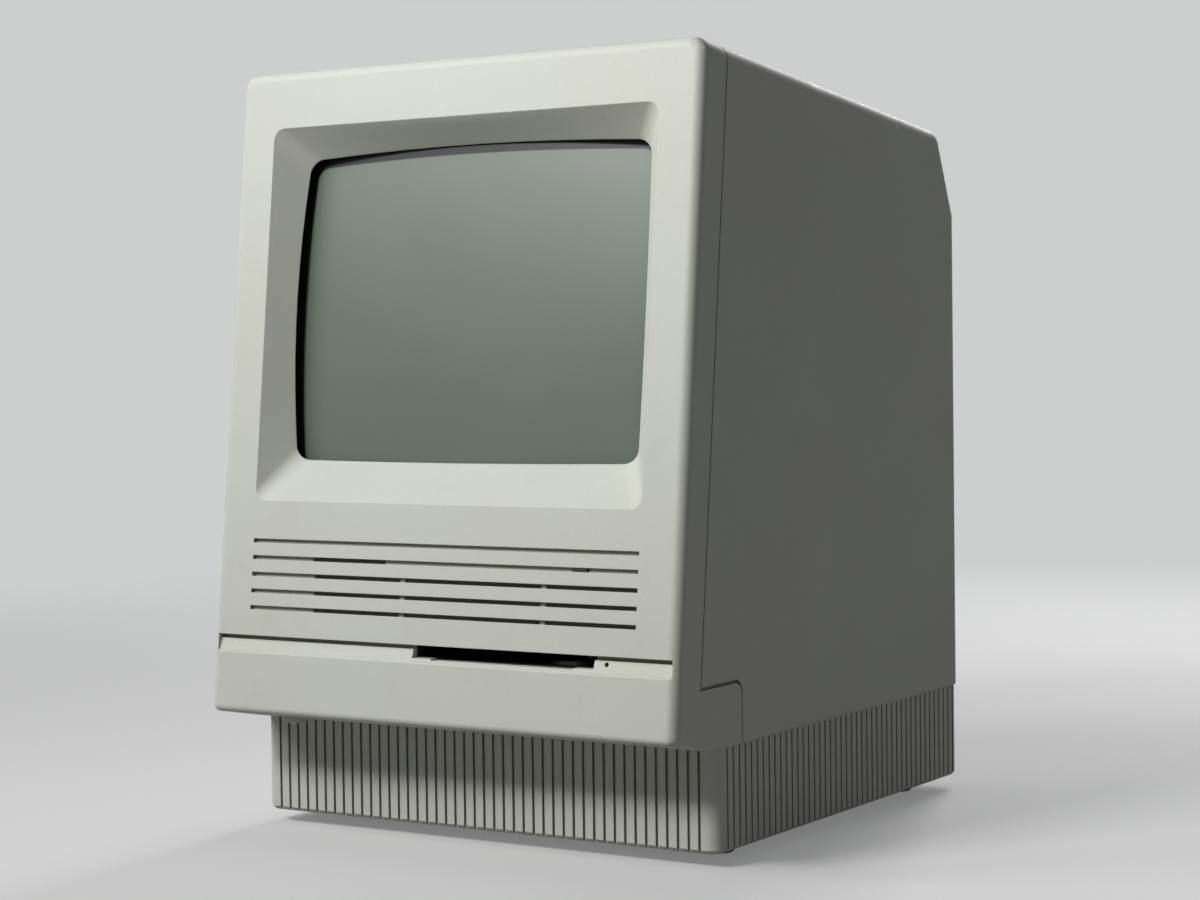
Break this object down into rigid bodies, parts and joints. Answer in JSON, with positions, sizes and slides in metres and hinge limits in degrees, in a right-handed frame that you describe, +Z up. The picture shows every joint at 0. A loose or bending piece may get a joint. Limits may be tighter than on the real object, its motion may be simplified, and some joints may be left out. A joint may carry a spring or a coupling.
{
  "type": "vintage home computer",
  "caption": "Compact all-in-one desktop computer with a small monochrome screen, disk slot, grip recess and rear ports, working drive, fan, switch and controls.",
  "frame": {"origin": "on the floor under the middle of the housing", "axes": "+Z up, -Y towards the screen side, +X to the right of someone facing the screen"},
  "size_m": [0.244, 0.2757, 0.3445],
  "materials": {
    "housing": "fine moulded texture, warm light grey",
    "controls": "smooth moulded, warm light grey",
    "rubber": "dark grey rubber",
    "screws": "blackened steel",
    "lens": "dark smoky lens",
    "black_plastic": "black moulded plastic",
    "tube_glass": "grey green glass, polished",
    "steel": "zinc plated sheet",
    "ferrite": "dark ferrite",
    "copper": "enamelled copper",
    "board": "green circuit board",
    "cap_rubber": "dark red silicone",
    "capacitor": "sleeved cans",
    "aluminium": "cast and milled",
    "head": "filled plastic",
    "flat_cable": "grey flat cable"
  },
  "bodies": {
    "housing": {"front_bezel": "housing", "rear_case": "housing", "expansion_cover": "housing", "switch_frame": "controls", "rubber_feet": "rubber", "case_screws": "screws", "crt_screws": "screws", "activity_light": "lens", "power_switch": "black_plastic", "power_inlet": "black_plastic", "keyboard_ports": "black_plastic", "serial_ports": "black_plastic", "audio_jack": "black_plastic", "crt_base": "black_plastic", "expansion_connector": "black_plastic", "fan_housing": "black_plastic", "brightness_control": "black_plastic", "yoke_clamp": "black_plastic", "board_chips": "black_plastic", "crt_tube": "tube_glass", "crt_band": "steel", "main_chassis": "steel", "power_supply_case": "steel", "drive_bracket": "steel", "floppy_frame": "steel", "drive_port": "steel", "bus_port": "steel", "speaker": "steel", "stepper_motor": "steel", "spindle_motor": "steel", "yoke_core": "ferrite", "flyback_transformer": "ferrite", "yoke_coils": "copper", "neck_board": "board", "analog_board": "board", "logic_board": "board", "memory_modules": "board", "anode_cap": "cap_rubber", "anode_lead": "cap_rubber", "filter_capacitors": "capacitor", "clock_battery": "capacitor", "heat_sink": "aluminium", "hard_drive": "aluminium", "floppy_ribbon": "flat_cable", "hard_drive_ribbon": "flat_cable", "power_harness": "flat_cable"},
    "knob": {"brightness_knob": "controls"},
    "rocker": {"power_rocker": "black_plastic"},
    "reset": {"reset_button": "controls"},
    "interrupt": {"interrupt_button": "controls"},
    "fan": {"fan_rotor": "black_plastic"},
    "slider": {"eject_slider": "steel"},
    "carriage": {"disk_carriage": "steel"},
    "spindle": {"spindle_hub": "steel"},
    "head": {"head_carriage": "head"},
    "screw": {"lead_screw": "steel"},
    "ring_front": {"centring_ring_front": "black_plastic"},
    "ring_rear": {"centring_ring_rear": "black_plastic"}
  },
  "joints": [
    {"name": "brightness_turn", "type": "hinge", "parent": "housing", "child": "knob", "pos_m": [-0.088, -0.118, 0.0605], "axis": [0, 1, 0], "range_deg": [-135, 135]},
    {"name": "power_rock", "type": "hinge", "parent": "housing", "child": "rocker", "pos_m": [-0.088, 0.1276, 0.172], "axis": [1, 0, 0], "range_deg": [0, 24]},
    {"name": "reset_press", "type": "slide", "parent": "housing", "child": "reset", "axis": [1, 0, 0], "range_m": [0, 0.002], "stiffness_N_per_m": 400},
    {"name": "interrupt_press", "type": "slide", "parent": "housing", "child": "interrupt", "axis": [1, 0, 0], "range_m": [0, 0.002], "stiffness_N_per_m": 400},
    {"name": "fan_spin", "type": "hinge", "parent": "housing", "child": "fan", "pos_m": [-0.081, 0.0925, 0.232], "axis": [0, 1, 0], "continuous": true},
    {"name": "eject_slide", "type": "slide", "parent": "housing", "child": "slider", "axis": [0, -1, 0], "range_m": [0, 0.007]},
    {"name": "carriage_drop", "type": "slide", "parent": "housing", "child": "carriage", "axis": [0, 0, -1], "range_m": [0, 0.0035]},
    {"name": "spindle_spin", "type": "hinge", "parent": "housing", "child": "spindle", "pos_m": [0.0348, -0.075, 0.078], "axis": [0, 0, 1], "continuous": true},
    {"name": "head_step", "type": "slide", "parent": "housing", "child": "head", "axis": [0, -1, 0], "range_m": [0, 0.0148]},
    {"name": "screw_turn", "type": "hinge", "parent": "housing", "child": "screw", "pos_m": [0.0568, 0, 0.0776], "axis": [0, 1, 0], "continuous": true},
    {"name": "front_ring_turn", "type": "hinge", "parent": "housing", "child": "ring_front", "pos_m": [0, 0.02213, 0.22308], "axis": [0, 0.9942, -0.108], "continuous": true},
    {"name": "rear_ring_turn", "type": "hinge", "parent": "housing", "child": "ring_rear", "pos_m": [0, 0.02431, 0.22284], "axis": [0, 0.9942, -0.108], "continuous": true}
  ],
  "couplings": [
    {"joint": "carriage_drop", "follows": "eject_slide", "ratio": 0.5},
    {"joint": "screw_turn", "follows": "head_step", "rad_per_m": 2094.4}
  ]
}
